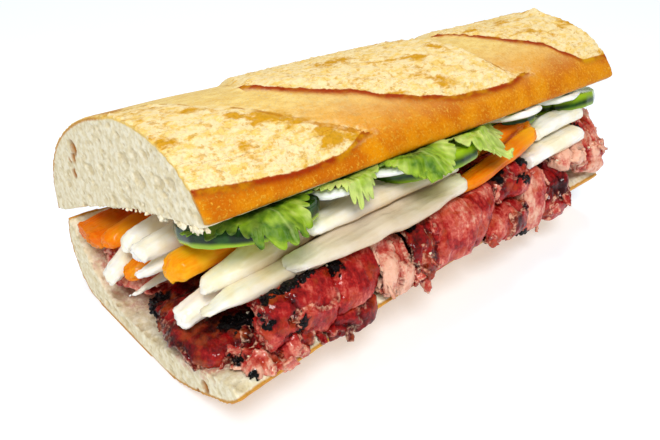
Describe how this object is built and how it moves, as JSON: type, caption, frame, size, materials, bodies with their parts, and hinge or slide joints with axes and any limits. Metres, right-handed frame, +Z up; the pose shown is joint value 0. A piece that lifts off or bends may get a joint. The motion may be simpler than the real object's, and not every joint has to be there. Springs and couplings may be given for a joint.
{
  "type": "banh mi sandwich",
  "caption": "Short cut length of baguette, split along its side and filled with folded roast pork slices, pickled daikon and carrot batons, cucumber, onion rings and cilantro.",
  "frame": {"origin": "middle of the underside of the whole sandwich's box", "axes": "+X along the loaf towards its narrower end, -Y out of the open side, +Y the hinge side, +Z up"},
  "size_m": [0.1428, 0.0856, 0.0623],
  "materials": {
    "bread_bottom": "baked crumb with a golden crust",
    "bread_top": "golden baked crust, floured scores, pale crumb at the cuts",
    "pork": "glazed roast pork with charred edges",
    "daikon": "moist, slightly translucent",
    "carrot": "moist",
    "cucumber": "moist flesh, dark green skin",
    "onion": "moist, slightly translucent",
    "cilantro": "soft green leaf"
  },
  "bodies": {
    "root": {"bread_bottom": "bread_bottom", "bread_top": "bread_top", "carrot_01": "carrot", "carrot_02": "carrot", "carrot_03": "carrot", "carrot_04": "carrot", "carrot_05": "carrot", "carrot_06": "carrot", "cilantro_01": "cilantro", "cilantro_02": "cilantro", "cilantro_03": "cilantro", "cilantro_04": "cilantro", "cucumber_01": "cucumber", "cucumber_02": "cucumber", "cucumber_03": "cucumber", "cucumber_04": "cucumber", "daikon_01": "daikon", "daikon_02": "daikon", "daikon_03": "daikon", "daikon_04": "daikon", "daikon_05": "daikon", "daikon_06": "daikon", "daikon_07": "daikon", "daikon_08": "daikon", "daikon_09": "daikon", "daikon_10": "daikon", "daikon_11": "daikon", "daikon_12": "daikon", "daikon_13": "daikon", "onion_01": "onion", "onion_02": "onion", "onion_03": "onion", "onion_04": "onion", "pork_01": "pork", "pork_02": "pork", "pork_03": "pork", "pork_04": "pork", "pork_05": "pork", "pork_06": "pork", "pork_07": "pork", "pork_08": "pork", "pork_09": "pork", "pork_10": "pork", "pork_11": "pork", "pork_12": "pork", "pork_13": "pork", "pork_14": "pork", "pork_15": "pork", "pork_16": "pork", "pork_17": "pork", "pork_18": "pork", "pork_19": "pork"}
  },
  "joints": []
}
